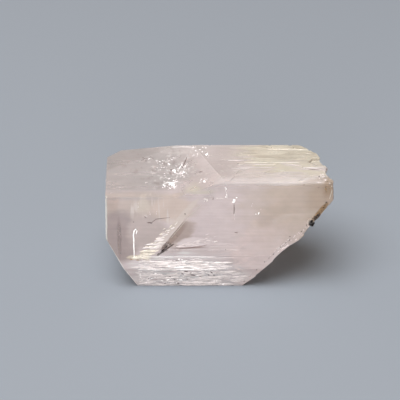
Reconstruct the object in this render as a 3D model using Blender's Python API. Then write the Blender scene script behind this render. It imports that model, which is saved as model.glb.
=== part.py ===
"""A danburite crystal lying on one of its long prism faces.

The crystal is one piece. Its c axis runs along X, so the prism faces, with their growth
lines, are the front, top, back and underside. The end at -X is the grown one, cut by
flat end faces. The end at +X is where it broke from the rock, and it overhangs the
surface that the crystal lies on. While it is built, x runs from the grown end, y from
the line where the front face would meet the resting face, and z up from that face.
"""

import math
import random
from dataclasses import dataclass

import bmesh
import bpy
from mathutils import Euler, Matrix, Vector, noise

MM = 0.001

# The prism, across its c axis
HEIGHT = 19.1 * MM
DEPTH = 13.5 * MM
LEAN = math.radians(5.0)
BEVEL_TURN = math.radians(18.9)
FOOT_CORNER = 4.3 * MM
FOOT_BEVEL_HEIGHT = 3.9 * MM
FOOT_BAND_TOP = 6.3 * MM
BACK_BEVEL_HEIGHT = 3.4 * MM
EDGE_STRIP = 0.22 * MM

# The grown end
STOCK_LENGTH = 40.0 * MM
END_TURN = math.radians(2.2)
END_LEAN = math.radians(1.5)
END_FOOT = -0.56 * MM
STEEP_TOP = 9.0 * MM
KNEE_X, KNEE_Z = 1.53 * MM, 5.4 * MM
SLOPE_FOOT = 4.15 * MM
CUT_TURN = math.radians(4.0)
BACK_CORNER = (-0.9 * MM, 13.2 * MM, 0.0)
BACK_CORNER_FACING = (-0.68, 0.73, 0.05)
RIM = 0.2 * MM

# The lower half of the top, at the grown end: a shelf, and a riser up to the full height
SHELF_Z = 16.5 * MM
SHELF_RISE = 0.2
SHELF_BACK_Z = 17.8 * MM
SHELF_BACK_SLOPE = 0.115
RISER_X = 10.9 * MM
RISER_SLOPE = 0.34
RISER_SKEW = 0.14

# The broken end, in millimetres: height and x of its furthest line, and y and how far it
# falls back from that line
BREAK_PROFILE = (
    (-1.0, 20.8), (0.0, 21.9), (1.3, 23.4), (2.8, 24.7), (4.6, 26.1), (6.2, 27.2), (7.9, 28.3),
    (8.8, 29.6), (9.8, 31.2), (11.3, 32.7), (13.0, 34.1), (14.5, 35.2), (16.0, 35.7),
    (17.4, 35.8), (19.1, 35.0), (21.0, 34.5),
)
BREAK_PLAN = (
    (-1.0, 0.9), (1.6, 0.55), (2.6, 0.0), (4.0, 0.2), (6.1, 0.75), (7.7, 1.25), (9.2, 2.2),
    (10.5, 2.7), (11.4, 2.9), (12.6, 2.9), (13.7, 3.8), (16.0, 7.5),
)
BREAK_LOW_SHARE = 0.35
BREAK_FORWARD_Y = 2.6 * MM
BREAK_SKEW = 0.3
BREAK_CELL = 0.4 * MM
CELL_JITTER = 0.3
BREAK_Y = (-2.0 * MM, 16.5 * MM)
BREAK_Z = (-1.5 * MM, 20.8 * MM)

# The flats and the shell-shaped hollows of the broken surface
FLAT_SIZE = 4.2 * MM
FLAT_START = 17.0 * MM
FLAT_TILT = 0.4
FLAT_MEAN = 0.35
HOLLOWS = ((26, 1.8 * MM, 3.2 * MM), (70, 0.8 * MM, 1.6 * MM))
HOLLOW_DEPTH = 0.42
HOLLOW_MEAN = 0.3 * MM

# The dark lump on the broken edge, and the gap where the inner fracture comes out
LUMP_PLACE = (31.9 * MM, 1.15 * MM, 12.0 * MM)
LUMP_RADIUS = 0.5 * MM
LUMP_SHAPE = (1.05, 0.75, 0.95)
LUMP_ROUGHNESS = 0.5
SLIVER_START = (7.6 * MM, 6.2 * MM)
SLIVER_END = (10.5 * MM, 8.5 * MM)
SLIVER_WIDTH = 0.34 * MM
SLIVER_DEPTH = 0.9 * MM

SEED = 16
FAR = 90.0 * MM
"""Half the side of the blocks that the larger cuts are made with."""


@dataclass(frozen=True)
class Terrace:
    """A growth terrace of the top: its depth in metres, and its outline in millimetres."""

    depth: float
    outline: tuple


@dataclass(frozen=True)
class LineField:
    """Growth lines on a face between two of its edges, with the outside on their left."""

    first: tuple
    last: tuple
    start: float
    end: float
    count: int
    widths: tuple


@dataclass(frozen=True)
class ChipRow:
    """Small chips along an edge, as x places in millimetres, y, z and range of radii."""

    places: tuple
    y: float
    z: float
    radii: tuple


TERRACES = (
    Terrace(0.07 * MM, ((18.0, -1.0), (20.5, 5.2), (22.8, 6.5), (25.7, 6.5), (26.9, 8.0),
                        (30.6, 6.9), (31.2, 5.9), (40.0, 5.2), (40.0, -1.0))),
    Terrace(0.14 * MM, ((24.4, 4.8), (25.5, 4.5), (27.2, 4.5), (28.4, 4.8), (27.3, 5.3),
                        (25.6, 5.3))),
    Terrace(0.15 * MM, ((30.2, -1.0), (29.6, 2.1), (31.0, 3.4), (33.2, 3.7), (40.0, 3.9),
                        (40.0, -1.0))),
    Terrace(0.07 * MM, ((20.6, 8.7), (31.0, 8.4), (40.0, 8.3), (40.0, 10.6), (33.2, 10.3),
                        (31.5, 9.4), (24.0, 9.3))),
    Terrace(0.42 * MM, ((31.6, 8.2), (32.8, 6.9), (40.0, 7.0), (40.0, 9.9), (32.4, 9.4))),
)


def front_y(z):
    """y of the front face at a height."""
    return z * math.tan(LEAN)


def end_x(z):
    """x of the grown end's upright face at a height, beside the front face."""
    return END_FOOT + z * math.tan(END_LEAN)


def bevel_run(height):
    """How far a bevel runs across y over its height."""
    return height * math.tan(BEVEL_TURN - LEAN)


FOOT = (front_y(FOOT_CORNER) + bevel_run(FOOT_CORNER), 0.0)
RIDGE = (FOOT[0] - bevel_run(FOOT_BEVEL_HEIGHT), FOOT_BEVEL_HEIGHT)
BAND = (front_y(FOOT_BAND_TOP), FOOT_BAND_TOP)
BACK_SHOULDER = (DEPTH + front_y(HEIGHT - BACK_BEVEL_HEIGHT), HEIGHT - BACK_BEVEL_HEIGHT)
BACK_TOP = (BACK_SHOULDER[0] - bevel_run(BACK_BEVEL_HEIGHT), HEIGHT)
SHELF_EDGE = (front_y(SHELF_Z), SHELF_Z)

LINE_FIELDS = (
    LineField((2.1 * MM, HEIGHT), (13.3 * MM, HEIGHT), 18.6 * MM, 36.0 * MM, 24,
              (0.14 * MM, 0.42 * MM)),
    LineField(BAND, (front_y(8.8 * MM), 8.8 * MM), 5.0 * MM, 23.0 * MM, 5, (0.08 * MM, 0.16 * MM)),
    LineField(RIDGE, BAND, 3.0 * MM, 21.0 * MM, 9, (0.1 * MM, 0.26 * MM)),
    LineField(FOOT, RIDGE, 4.6 * MM, 21.5 * MM, 11, (0.1 * MM, 0.3 * MM)),
    LineField(BACK_TOP, BACK_SHOULDER, 2.0 * MM, 32.0 * MM, 10, (0.1 * MM, 0.3 * MM)),
    LineField(BACK_SHOULDER, (DEPTH, 0.0), 1.0 * MM, 32.0 * MM, 24, (0.1 * MM, 0.3 * MM)),
)
CHIP_ROWS = (
    ChipRow((7.1, 9.3, 11.4, 14.6, 17.3, 19.8), *FOOT, (0.2 * MM, 0.42 * MM)),
    ChipRow((25.6, 26.6, 28.4, 32.6), front_y(HEIGHT), HEIGHT, (0.2 * MM, 0.34 * MM)),
    ChipRow((16.1, 25.9, 29.2), *BACK_TOP, (0.25 * MM, 0.4 * MM)),
    ChipRow((5.2, 14.2, 22.7), *BACK_SHOULDER, (0.2 * MM, 0.4 * MM)),
)
CHIP_SQUASH = 0.6


def straight_lines(table, at):
    """The value at one place of a table of (place, value) pairs, with straight lines between."""
    if at <= table[0][0]:
        return table[0][1]
    for (low, first), (high, second) in zip(table, table[1:]):
        if at <= high:
            return first + (second - first) * (at - low) / (high - low)
    return table[-1][1]


def cut(bm, point, normal):
    """Cuts off what lies beyond a plane, and closes the mesh with a flat face."""
    geometry = bm.verts[:] + bm.edges[:] + bm.faces[:]
    bmesh.ops.bisect_plane(
        bm, geom=geometry, plane_co=point, plane_no=normal, clear_outer=True, dist=1e-7
    )
    rim = [edge for edge in bm.edges if edge.is_boundary]
    if rim:
        bmesh.ops.contextual_create(bm, geom=rim)


def block(low, high):
    """A box between two corners."""
    bm = bmesh.new()
    low, high = Vector(low), Vector(high)
    size = Matrix.Diagonal((*(high - low), 1.0))
    bmesh.ops.create_cube(bm, size=1.0, matrix=Matrix.Translation((low + high) / 2) @ size)
    return bm


def thickened(bm, move):
    """Turns an open sheet into a closed block by moving a copy of it."""
    made = bmesh.ops.extrude_face_region(bm, geom=bm.faces[:], use_keep_orig=True)
    for item in made["geom"]:
        if isinstance(item, bmesh.types.BMVert):
            move(item.co)
    return bm


def to_object(name, bm):
    """A scene object that holds the mesh, with its faces pointing out."""
    bmesh.ops.recalc_face_normals(bm, faces=bm.faces[:])
    mesh = bpy.data.meshes.new(name)
    bm.to_mesh(mesh)
    bm.free()
    obj = bpy.data.objects.new(name, mesh)
    bpy.context.scene.collection.objects.link(obj)
    return obj


def combine(obj, bm, operation="DIFFERENCE"):
    """Cuts a shape away from the object, or joins it on."""
    tool = to_object("tool", bm)
    modifier = obj.modifiers.new(operation.lower(), "BOOLEAN")
    modifier.operation = operation
    modifier.object = tool
    modifier.solver = "EXACT"
    modifier.use_self = True
    graph = bpy.context.evaluated_depsgraph_get()
    made = bpy.data.meshes.new_from_object(obj.evaluated_get(graph))
    obj.modifiers.remove(modifier)
    obj.data = made
    bpy.data.objects.remove(tool)


def prism():
    """The long prism between its faces, with the grown end cut."""
    bm = block((-0.1 * STOCK_LENGTH, -DEPTH, 0), (STOCK_LENGTH, 2 * DEPTH, HEIGHT))
    back = Vector((0, math.cos(LEAN), -math.sin(LEAN)))
    turn = BEVEL_TURN - LEAN
    bevel = Vector((0, math.cos(turn), math.sin(turn)))
    band_up = Vector(BAND) - Vector(RIDGE)
    cut(bm, (0, 0, 0), -back)
    cut(bm, (0, DEPTH, 0), back)
    cut(bm, (0, *BACK_SHOULDER), bevel)
    cut(bm, (0, *FOOT), -bevel)
    cut(bm, (0, *BAND), (0, -band_up.y, band_up.x))
    cut(bm, (0, front_y(HEIGHT), HEIGHT - EDGE_STRIP), bevel - 2 * back)
    cut_grown_end(bm)
    return bm


def cut_grown_end(bm):
    """The flat faces of the grown end, and the narrow rims along its front edges."""
    front = Vector((0, -math.cos(LEAN), math.sin(LEAN)))
    upright = Vector((-1, -math.tan(END_TURN), math.tan(END_LEAN))).normalized()
    top_x = end_x(STEEP_TOP)
    steep = Vector((-(STEEP_TOP - KNEE_Z), 0, -(KNEE_X - top_x))).normalized()
    slope = Vector((-KNEE_Z, 0, -(SLOPE_FOOT - KNEE_X))).normalized()
    turned = Vector((0, math.sin(CUT_TURN), 0))
    cut(bm, (top_x, front_y(STEEP_TOP), STEEP_TOP), upright)
    cut(bm, BACK_CORNER, BACK_CORNER_FACING)
    cut(bm, (top_x, 0, STEEP_TOP), steep + turned)
    cut(bm, (KNEE_X, 0, KNEE_Z), slope + turned)
    rims = ((top_x, STEEP_TOP, upright), (top_x, STEEP_TOP, steep), (KNEE_X, KNEE_Z, slope))
    for x, z, normal in rims:
        between = (front + normal).normalized()
        cut(bm, Vector((x, front_y(z), z)) - between * RIM / 2, between)


def above(*planes):
    """A block bounded from below by planes, each given as a point and its slopes in x and y."""
    bm = block((-FAR, -FAR, -FAR), (FAR, FAR, FAR))
    for point, slope_x, slope_y in planes:
        cut(bm, point, (slope_x, slope_y, -1))
    return bm


def shelf_cuts():
    """What is missing above the lower half of the top."""
    riser = ((RISER_X, *SHELF_EDGE), RISER_SLOPE, RISER_SKEW)
    yield above(((0, *SHELF_EDGE), 0, SHELF_RISE), riser)
    yield above(((0, SHELF_EDGE[0], SHELF_BACK_Z), SHELF_BACK_SLOPE, 0), riser)


def terrace_cut(terrace):
    """What is missing over one growth terrace."""
    bm = bmesh.new()
    floor = HEIGHT - terrace.depth
    bm.faces.new([bm.verts.new((x * MM, y * MM, floor)) for x, y in terrace.outline])

    def lift(place):
        place.z = HEIGHT + 1.0 * MM

    return thickened(bm, lift)


def add_groove(bm, start, end, facing, width, depth):
    """Adds the cutter of one growth line: a long shallow V that fades out at both ends."""
    start, end = Vector(start), Vector(end)
    along = (end - start).normalized()
    up = (facing - along * facing.dot(along)).normalized()
    frame = Matrix((along, up.cross(along), up)).transposed().to_4x4()
    frame.translation = (start + end) / 2
    half = (end - start).length / 2
    made = bmesh.ops.create_cube(bm, size=2.0)["verts"]
    for vert in made:
        low = vert.co.z < 0
        vert.co.x *= half * (0.86 if low else 1.0)
        vert.co.y *= width * (0.04 if low else 0.5)
        vert.co.z = -depth if low else 0.3 * depth
    bmesh.ops.transform(bm, matrix=frame, verts=made)


def growth_lines(rng, field):
    """Cutters of the growth lines across one face, each with its own stretch of x."""
    bm = bmesh.new()
    first, last = Vector(field.first), Vector(field.last)
    across = (last - first).normalized()
    facing = Vector((0, -across.y, across.x))
    for index in range(field.count):
        place = first.lerp(last, (index + rng.uniform(0.15, 0.85)) / field.count)
        length = rng.uniform(0.25, 0.95) * (field.end - field.start)
        start = rng.uniform(field.start, field.end - length)
        width = rng.uniform(*field.widths)
        depth = width * math.tan(BEVEL_TURN) * rng.uniform(0.35, 0.6)
        add_groove(bm, (start, *place), (start + length, *place), facing, width, depth)
    return bm


def chips(rng, row):
    """Cutters of small shell-shaped chips along an edge."""
    bm = bmesh.new()
    for x in row.places:
        turn = Euler([rng.uniform(0, math.tau) for _ in range(3)]).to_matrix().to_4x4()
        size = Matrix.Diagonal((1.0, CHIP_SQUASH, CHIP_SQUASH, 1.0))
        matrix = Matrix.Translation((x * MM, row.y, row.z)) @ size @ turn
        radius = rng.uniform(*row.radii)
        bmesh.ops.create_icosphere(bm, subdivisions=1, radius=radius, matrix=matrix)
    return bm


def flats(place):
    """How far the large flats of the broken surface stand out at a place."""
    _, centres = noise.voronoi(place / FLAT_SIZE)
    heights = []
    for centre in centres:
        lean = noise.noise_vector(Vector(centre) * 91.7)
        heights.append(lean.dot(place / FLAT_SIZE - Vector(centre)) + 0.4 * lean.z)
    return FLAT_SIZE * FLAT_TILT * (max(heights) - FLAT_MEAN)


def hollows(rng):
    """The shell-shaped hollows of the broken surface: y, z, radius and depth of each."""
    made = []
    for count, smallest, largest in HOLLOWS:
        for _ in range(count):
            radius = rng.uniform(smallest, largest)
            depth = HOLLOW_DEPTH * radius * rng.uniform(0.5, 1.0)
            made.append((rng.uniform(*BREAK_Y), rng.uniform(*BREAK_Z), radius, depth))
    return made


def break_x(scoops, y, z):
    """x of the broken surface at a place across the crystal."""
    share = BREAK_LOW_SHARE + (1 - BREAK_LOW_SHARE) * max(0.0, min(1.0, z / HEIGHT))
    fall = share * straight_lines(BREAK_PLAN, y / MM)
    level = z - BREAK_SKEW * max(0.0, y - BREAK_FORWARD_Y)
    x = (straight_lines(BREAK_PROFILE, level / MM) - fall) * MM
    deepest = 0.0
    for scoop_y, scoop_z, radius, depth in scoops:
        away = math.hypot(y - scoop_y, z - scoop_z) / radius
        deepest = max(deepest, depth * (1.0 - away * away))
    return x + flats(Vector((FLAT_START, y, z))) + HOLLOW_MEAN - deepest


def beyond_break(rng):
    """What is missing beyond the broken end: a rough sheet, thickened along +X."""
    scoops = hollows(rng)
    across = round((BREAK_Y[1] - BREAK_Y[0]) / BREAK_CELL)
    up = round((BREAK_Z[1] - BREAK_Z[0]) / BREAK_CELL)
    bm = bmesh.new()
    bmesh.ops.create_grid(bm, x_segments=across, y_segments=up, size=0.5)
    for vert in bm.verts:
        y = BREAK_Y[0] + (vert.co.x + 0.5) * (BREAK_Y[1] - BREAK_Y[0])
        z = BREAK_Z[0] + (vert.co.y + 0.5) * (BREAK_Z[1] - BREAK_Z[0])
        if not vert.is_boundary:
            y += rng.uniform(-CELL_JITTER, CELL_JITTER) * BREAK_CELL
            z += rng.uniform(-CELL_JITTER, CELL_JITTER) * BREAK_CELL
        vert.co = (break_x(scoops, y, z), y, z)
    for face in list(bm.faces):
        split_on_crease(face, scoops)

    def push(place):
        place.x = 2 * STOCK_LENGTH

    return thickened(bm, push)


def split_on_crease(face, scoops):
    """Splits a cell of the broken surface along the diagonal that lies nearer to it."""
    corners = list(face.verts)
    middle = face.calc_center_median()
    goal = break_x(scoops, middle.y, middle.z)
    misses = [abs((corners[i].co.x + corners[i + 2].co.x) / 2 - goal) for i in range(2)]
    first = misses.index(min(misses))
    bmesh.utils.face_split(face, corners[first], corners[first + 2])


def sliver():
    """The narrow open gap where the inner fracture comes out of the front face."""
    bm = bmesh.new()
    start = Vector((SLIVER_START[0], front_y(SLIVER_START[1]), SLIVER_START[1]))
    end = Vector((SLIVER_END[0], front_y(SLIVER_END[1]), SLIVER_END[1]))
    half = (end - start).length / 2
    along = (end - start).normalized()
    inward = Vector((0, 1, 0))
    inward = (inward - along * inward.dot(along)).normalized()
    frame = Matrix((along, inward, along.cross(inward))).transposed().to_4x4()
    frame.translation = (start + end) / 2
    size = Matrix.Diagonal((half, SLIVER_DEPTH, SLIVER_WIDTH / 2, 1.0))
    bmesh.ops.create_icosphere(bm, subdivisions=2, radius=1.0, matrix=frame @ size)
    return bm


def lump():
    """The small dark lump that grew on the broken edge."""
    bm = bmesh.new()
    matrix = Matrix.Translation(LUMP_PLACE) @ Matrix.Diagonal((*LUMP_SHAPE, 1.0))
    bmesh.ops.create_icosphere(bm, subdivisions=2, radius=LUMP_RADIUS, matrix=matrix)
    for vert in bm.verts:
        vert.co += noise.noise_vector(vert.co / LUMP_RADIUS) * LUMP_ROUGHNESS * LUMP_RADIUS
    return bm


def centre_over_foot(obj):
    """Moves the mesh so that the middle of its box, at its lowest height, is the origin."""
    corners = [Vector(corner) for corner in obj.bound_box]
    low = Vector(min(corner[axis] for corner in corners) for axis in range(3))
    high = Vector(max(corner[axis] for corner in corners) for axis in range(3))
    middle = (low + high) / 2
    obj.data.transform(Matrix.Translation((-middle.x, -middle.y, -low.z)))


def crystal_material():
    """Pale pink, clear danburite."""
    material = bpy.data.materials.new("danburite")
    material.use_nodes = True
    shader = material.node_tree.nodes["Principled BSDF"]
    shader.inputs["Base Color"].default_value = (0.72, 0.58, 0.54, 1.0)
    shader.inputs["Roughness"].default_value = 0.12
    shader.inputs["Metallic"].default_value = 0.0
    shader.inputs["IOR"].default_value = 1.633
    shader.inputs["Transmission Weight"].default_value = 0.7
    return material


def main():
    """Builds the crystal and centres it over its resting face."""
    for obj in list(bpy.data.objects):
        bpy.data.objects.remove(obj)
    rng = random.Random(SEED)
    noise.seed_set(SEED)
    crystal = to_object("danburite_crystal", prism())
    for tool in shelf_cuts():
        combine(crystal, tool)
    for terrace in TERRACES:
        combine(crystal, terrace_cut(terrace))
    for field in LINE_FIELDS:
        combine(crystal, growth_lines(rng, field))
    combine(crystal, beyond_break(rng))
    for row in CHIP_ROWS:
        combine(crystal, chips(rng, row))
    combine(crystal, sliver())
    combine(crystal, lump(), "UNION")
    centre_over_foot(crystal)
    crystal.data.materials.clear()
    crystal.data.materials.append(crystal_material())


main()
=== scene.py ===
"""The looks of a danburite crystal that lies on a plain pale floor.

The crystal is one see-through prism with growth lines, a grown end and a broken end.
Places on it and in it are given in millimetres from the low corner of its box, moved by
START along x: x from the front edge of the grown end, y from the front, z up from the floor.
"""

from __future__ import annotations

import logging
import math
import random
from collections.abc import Callable
from dataclasses import dataclass
from enum import Enum

import bmesh
import bpy
from mathutils import Matrix, Vector, noise
from mathutils.bvhtree import BVHTree


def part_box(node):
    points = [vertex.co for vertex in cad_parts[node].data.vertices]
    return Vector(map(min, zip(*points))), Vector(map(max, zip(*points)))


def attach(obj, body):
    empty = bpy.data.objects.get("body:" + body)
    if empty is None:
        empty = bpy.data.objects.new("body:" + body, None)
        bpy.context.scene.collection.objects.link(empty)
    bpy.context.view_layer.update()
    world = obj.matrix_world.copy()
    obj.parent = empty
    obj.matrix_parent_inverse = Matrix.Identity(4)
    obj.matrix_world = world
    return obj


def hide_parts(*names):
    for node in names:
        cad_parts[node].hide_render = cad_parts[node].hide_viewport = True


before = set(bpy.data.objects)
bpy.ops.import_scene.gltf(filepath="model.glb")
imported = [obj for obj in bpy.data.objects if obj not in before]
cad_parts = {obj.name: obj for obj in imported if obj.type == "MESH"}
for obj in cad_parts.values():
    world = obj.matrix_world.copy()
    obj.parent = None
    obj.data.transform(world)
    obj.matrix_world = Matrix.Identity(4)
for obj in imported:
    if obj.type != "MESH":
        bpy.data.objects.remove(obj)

MM = 0.001
NODE = "danburite_crystal"
SEED = 5
START = (0.23, 0.0, 0.0)
"""How far the places' own corner lies from the box's low corner, in millimetres."""
BROKEN = "broken"
"""The name of the mesh attribute that is 1 on the broken end."""

PHOTO_SIDE = 400.0
"""The photo's side in pixels; the places of flaws are given in its pixels."""
FOCAL = 1116.0
"""The camera's focal length in pixels of the photo."""
PIXEL = MM / 6.31
"""The size of a pixel of the photo at the crystal."""
GLINT_FACING = Vector((-0.117, -0.626, 0.771)).normalized()
"""The way that a flake faces when it throws the lamp's light at the camera."""

PATCH_GROUP = "soft patch"
GRAIN_GROUP = "grain"
NOISE_MEAN = 0.5
RIM_STRETCH = (0.25, 0.5, 0.6)
"""Lumps to the millimetre of the noise that frays a patch's rim."""
RIM_DETAIL = 4.0
RIM_REACH = 4.0
"""How far that noise moves the rim, for each unit of a patch's ragged value."""
MIX_FACTOR, MIX_FIRST, MIX_SECOND, MIX_RESULT = 0, 6, 7, 2
"""The Mix node's colour sockets, by number, because others have the same names."""
FRONT_DEPTH = 0.5
"""How far behind the crystal's foremost point a front patch has its middle, in millimetres."""
FRONT_REACH = 3.0
"""How far a front patch reaches to the front and the back of its middle, in millimetres."""
FRACTURE_LEAN = -52.4
"""How far the patches along the inner fracture are turned about y, in degrees."""
TAPER = 0.5
"""The power that thins a thread towards its ends."""

log = logging.getLogger("danburite")

Pair = tuple[float, float]
Place = tuple[float, float, float]
Colour = tuple[float, float, float]


@dataclass(frozen=True)
class CrystalFrame:
    """Where the crystal's box is, as the CAD gives it."""

    low: Vector
    high: Vector

    @classmethod
    def from_cad(cls) -> CrystalFrame:
        """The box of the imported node."""
        low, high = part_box(NODE)
        return cls(Vector(low), Vector(high))

    def at(self, place: Place) -> Vector:
        """A place in millimetres from the grown end, in metres in the CAD frame."""
        return self.low + (Vector(START) + Vector(place)) * MM


def per_metre(stretch: Place) -> Place:
    """Turns lumps to the millimetre into lumps to the metre."""
    return tuple(count / MM for count in stretch)


class Nodes:
    """Builds the node tree of one material or group, one call for each node."""

    def __init__(self, tree: bpy.types.NodeTree) -> None:
        """Starts on a tree.

        Args:
            tree: the node tree that the nodes go into.
        """
        self.tree = tree

    def add(self, kind: str, **settings: object) -> bpy.types.Node:
        """Adds a node and sets its properties.

        Args:
            kind: the node's type name.
            settings: its properties by name.

        Returns:
            The new node.
        """
        node = self.tree.nodes.new(kind)
        for name, value in settings.items():
            setattr(node, name, value)
        return node

    def feed(self, node: bpy.types.Node, socket: str | int, value: object) -> None:
        """Links an output to a node's input, or sets the input to a plain value.

        Args:
            node: the node that takes the value.
            socket: the input's name or number.
            value: an output socket, a number or a tuple.
        """
        if isinstance(value, bpy.types.NodeSocket):
            self.tree.links.new(value, node.inputs[socket])
        else:
            node.inputs[socket].default_value = value

    def math(self, operation: str, *values: object) -> bpy.types.NodeSocket:
        """One sum on numbers.

        Args:
            operation: the Math node's operation.
            values: its inputs in order.

        Returns:
            The result's socket.
        """
        node = self.add("ShaderNodeMath", operation=operation)
        for index, value in enumerate(values):
            self.feed(node, index, value)
        return node.outputs[0]

    def mix(self, factor: object, first: object, second: object) -> bpy.types.NodeSocket:
        """A colour between two others.

        Args:
            factor: 0 for the first and 1 for the second.
            first: a colour or its socket.
            second: a colour or its socket.

        Returns:
            The mixed colour's socket.
        """
        node = self.add("ShaderNodeMix", data_type="RGBA")
        self.feed(node, MIX_FACTOR, factor)
        for socket, value in ((MIX_FIRST, first), (MIX_SECOND, second)):
            self.feed(node, socket, (*value, 1.0) if isinstance(value, tuple) else value)
        return node.outputs[MIX_RESULT]

    def ramp(self, value: object, low: object, high: object) -> bpy.types.NodeSocket:
        """A smooth step from 0 to 1.

        Args:
            value: what is looked up.
            low: where the result is 0.
            high: where the result is 1.

        Returns:
            The result's socket.
        """
        node = self.add("ShaderNodeMapRange", interpolation_type="SMOOTHSTEP")
        for socket, number in (("Value", value), ("From Min", low), ("From Max", high)):
            self.feed(node, socket, number)
        return node.outputs[0]

    def noise(self, place: object, scale: object, detail: float = 3.0) -> bpy.types.NodeSocket:
        """Smooth noise.

        Args:
            place: the coordinates in metres.
            scale: lumps to the metre along x, y and z.
            detail: how many finer layers it has.

        Returns:
            The noise's socket, about 0.5.
        """
        moved = self.add("ShaderNodeMapping")
        self.feed(moved, "Vector", place)
        self.feed(moved, "Scale", scale)
        node = self.add("ShaderNodeTexNoise")
        self.feed(node, "Vector", moved.outputs[0])
        self.feed(node, "Scale", 1.0)
        self.feed(node, "Detail", detail)
        return node.outputs[0]

    def group_mask(
        self, group: bpy.types.NodeTree, values: dict[str, object]
    ) -> bpy.types.NodeSocket:
        """Places a node group that puts out a mask.

        Args:
            group: the group.
            values: its inputs by name.

        Returns:
            The mask's socket.
        """
        node = self.add("ShaderNodeGroup", node_tree=group)
        for socket, value in values.items():
            self.feed(node, socket, value)
        return node.outputs["Mask"]


@dataclass(frozen=True)
class Lamp:
    """A square lamp: its place and the length of its side in metres, its watts and its colour."""

    name: str
    place: Place
    side: float
    power: float
    colour: Colour


@dataclass(frozen=True)
class Studio:
    """The floor, the lights and the camera.

    Focus and aim are the places that the camera and the lamps point at, in millimetres. The
    fill is the even light from all sides.
    """

    box: CrystalFrame
    floor_colour: Colour = (0.206, 0.226, 0.254)
    floor_roughness: float = 0.9
    floor_shine: float = 0.1
    floor_side: float = 3.0
    focus: Place = (14.979, 7.199, 12.415)
    height_angle: float = math.radians(30.0)
    distance: float = 0.18
    lens_share: float = FOCAL / PHOTO_SIDE
    sensor_width: float = 36.0
    clip_start: float = 0.01
    fill_colour: Colour = (1.0, 0.68, 0.43)
    fill_strength: float = 0.22
    aim: Place = (18.0, 7.0, 9.0)
    lamps: tuple[Lamp, ...] = (
        Lamp("key", (-0.28, -0.38, 1.20), 1.0, 33.2, (0.965, 0.985, 1.0)),
        Lamp("front", (-0.12, -1.20, 0.10), 0.85, 15.0, (1.0, 0.985, 0.975)),
    )

    @property
    def away(self) -> Vector:
        """The way from the crystal to the camera."""
        return Vector((0.0, -math.cos(self.height_angle), math.sin(self.height_angle)))

    @property
    def up(self) -> Vector:
        """The way that is up in the photo."""
        return Vector((0.0, math.sin(self.height_angle), math.cos(self.height_angle)))

    @property
    def eye(self) -> Vector:
        """The camera's place."""
        return self.box.at(self.focus) + self.away * self.distance

    def build(self) -> None:
        """Sets up everything around the crystal."""
        self.add_floor()
        self.add_camera()
        self.add_fill()
        for lamp in self.lamps:
            self.add_lamp(lamp)
        bpy.context.scene.view_settings.view_transform = "Standard"

    def add_floor(self) -> None:
        """Lays the plain pale floor."""
        bm = bmesh.new()
        bmesh.ops.create_grid(bm, x_segments=1, y_segments=1, size=self.floor_side / 2)
        mesh = bpy.data.meshes.new("floor")
        bm.to_mesh(mesh)
        bm.free()
        floor = bpy.data.objects.new("floor", mesh)
        bpy.context.scene.collection.objects.link(floor)
        material = bpy.data.materials.new("floor paper")
        material.use_nodes = True
        shader = material.node_tree.nodes["Principled BSDF"]
        shader.inputs["Base Color"].default_value = (*self.floor_colour, 1.0)
        shader.inputs["Roughness"].default_value = self.floor_roughness
        shader.inputs["Specular IOR Level"].default_value = self.floor_shine
        mesh.materials.append(material)

    def add_camera(self) -> None:
        """Points the camera down at the crystal from the front."""
        data = bpy.data.cameras.new("camera")
        data.sensor_width = self.sensor_width
        data.lens = self.sensor_width * self.lens_share
        data.clip_start = self.clip_start
        camera = bpy.data.objects.new("camera", data)
        bpy.context.scene.collection.objects.link(camera)
        camera.location = self.eye
        camera.rotation_euler = (math.pi / 2 - self.height_angle, 0.0, 0.0)
        bpy.context.scene.camera = camera

    def add_fill(self) -> None:
        """Lights the crystal evenly from all sides."""
        world = bpy.data.worlds.new("studio")
        world.use_nodes = True
        background = world.node_tree.nodes["Background"]
        background.inputs["Color"].default_value = (*self.fill_colour, 1.0)
        background.inputs["Strength"].default_value = self.fill_strength
        bpy.context.scene.world = world

    def add_lamp(self, lamp: Lamp) -> None:
        """Hangs one lamp that faces the crystal.

        Args:
            lamp: the lamp.
        """
        data = bpy.data.lights.new(lamp.name, "AREA")
        data.size = lamp.side
        data.energy = lamp.power
        data.color = lamp.colour
        hung = bpy.data.objects.new(lamp.name, data)
        bpy.context.scene.collection.objects.link(hung)
        hung.location = lamp.place
        towards = self.box.at(self.aim) - Vector(lamp.place)
        hung.rotation_euler = towards.to_track_quat("-Z", "Y").to_euler()


@dataclass(frozen=True)
class Grain:
    """Streaks or specks: lumps to the millimetre, and the noise where they start and are full.

    Shift moves them, so that two patches don't share the same ones.
    """

    stretch: Place
    low: float
    high: float
    shift: float = 0.0


@dataclass(frozen=True)
class Patch:
    """A patch of the crystal with a soft, ragged rim.

    It is an ellipsoid, or with square at 1 a box, turned about x, y and z in degrees. It has
    a colour of its own, or none where it only makes the surface duller; some of these colours
    are painted shade or painted highlights. Soft and ragged are shares of its size, and share
    is how strong it is.
    """

    centre: Place
    half: Place
    colour: Colour | None = None
    turn: Place = (0.0, 0.0, 0.0)
    share: float = 1.0
    soft: float = 0.4
    ragged: float = 0.25
    square: float = 0.0
    grain: Grain | None = None


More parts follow.
